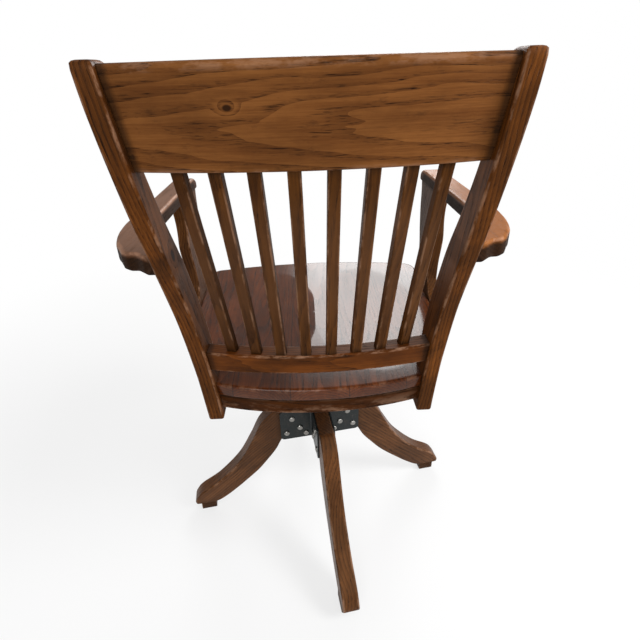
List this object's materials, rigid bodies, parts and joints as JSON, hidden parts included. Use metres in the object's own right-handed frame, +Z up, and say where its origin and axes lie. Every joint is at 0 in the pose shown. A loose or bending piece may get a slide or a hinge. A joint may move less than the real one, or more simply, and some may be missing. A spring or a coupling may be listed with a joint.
{
  "type": "bankers swivel chair",
  "caption": "Oak swivel chair with a curved slatted back, paddle arms, a shaped seat, a tilt and height screw and curved legs.",
  "frame": {"origin": "on the floor under the swivel axis", "axes": "+Z up, front of the seat towards -Y, the sitter's left arm towards +X"},
  "size_m": [0.64, 0.633, 1.004],
  "materials": {
    "seat_oak": "worn satin varnish",
    "band_oak": "worn satin varnish",
    "post_oak": "worn satin varnish",
    "back_oak": "worn satin varnish",
    "slat_oak": "worn satin varnish",
    "arm_oak": "arm tops rubbed pale",
    "leg_oak": "worn satin varnish",
    "pad_oak": "dark varnish",
    "black_steel": "old black enamel",
    "rivet_steel": "rubbed bright",
    "cast_iron": "black",
    "bright_steel": "oiled",
    "spring_steel": "blued",
    "screw_steel": "plain"
  },
  "bodies": {
    "base": {"leg_left": "leg_oak", "leg_rear": "leg_oak", "leg_right": "leg_oak", "leg_front": "leg_oak", "foot_pad_left": "pad_oak", "foot_pad_rear": "pad_oak", "foot_pad_right": "pad_oak", "foot_pad_front": "pad_oak", "hub_plate_1": "black_steel", "hub_plate_2": "black_steel", "hub_plate_3": "black_steel", "hub_plate_4": "black_steel", "hub_rivets": "rivet_steel", "hub_tube": "cast_iron", "bearing_plate": "cast_iron"},
    "swivel": {"thrust_washer": "bright_steel"},
    "nut": {"height_nut": "cast_iron"},
    "lift": {"spindle": "bright_steel", "yoke": "cast_iron", "tilt_pin": "bright_steel"},
    "chair": {"seat": "seat_oak", "seat_band": "band_oak", "back_post_left": "post_oak", "back_post_right": "post_oak", "lower_rail": "back_oak", "crest_rail": "back_oak", "slat_1": "slat_oak", "slat_2": "slat_oak", "slat_3": "slat_oak", "slat_4": "slat_oak", "slat_5": "slat_oak", "slat_6": "slat_oak", "slat_7": "slat_oak", "slat_8": "slat_oak", "arm_left": "arm_oak", "arm_right": "arm_oak", "arm_support_left": "arm_oak", "arm_support_right": "arm_oak", "seat_iron": "cast_iron", "iron_screws": "screw_steel", "side_screws": "screw_steel", "rod_pin": "bright_steel"},
    "rod": {"tension_rod": "bright_steel", "tilt_spring": "spring_steel"},
    "cup": {"spring_cup": "bright_steel"},
    "wheel": {"hand_wheel": "cast_iron"}
  },
  "joints": [
    {"name": "swivel_turn", "type": "hinge", "parent": "base", "child": "swivel", "pos_m": [0, 0, 0.29], "axis": [0, 0, 1], "continuous": true},
    {"name": "height", "type": "slide", "parent": "swivel", "child": "lift", "axis": [0, 0, 1], "range_m": [-0.06, 0.03]},
    {"name": "nut_turn", "type": "hinge", "parent": "swivel", "child": "nut", "pos_m": [0, 0, 0.3], "axis": [0, 0, 1], "range_deg": [-3605, 1805]},
    {"name": "tilt", "type": "hinge", "parent": "lift", "child": "chair", "pos_m": [0, 0.015, 0.458], "axis": [-1, 0, 0], "range_deg": [0, 14], "stiffness_Nm_per_rad": 160, "springref_deg": -14.32, "deforming": ["tilt_spring"]},
    {"name": "rod_swing", "type": "hinge", "parent": "chair", "child": "rod", "pos_m": [0, -0.07, 0.449], "axis": [-1, 0, 0], "range_deg": [-14.5, 0.5]},
    {"name": "tension", "type": "slide", "parent": "rod", "child": "cup", "axis": [0, 0, 1], "range_m": [-0.0015, 0.006], "deforming": ["tilt_spring"]},
    {"name": "wheel_turn", "type": "hinge", "parent": "cup", "child": "wheel", "pos_m": [0, -0.07, 0.36], "axis": [0, 0, 1], "range_deg": [-365, 1445]}
  ],
  "couplings": [
    {"joint": "nut_turn", "follows": "height", "rad_per_m": 1047.2},
    {"joint": "rod_swing", "follows": "tilt", "ratio": -1},
    {"joint": "wheel_turn", "follows": "tension", "rad_per_m": 4188.8}
  ]
}
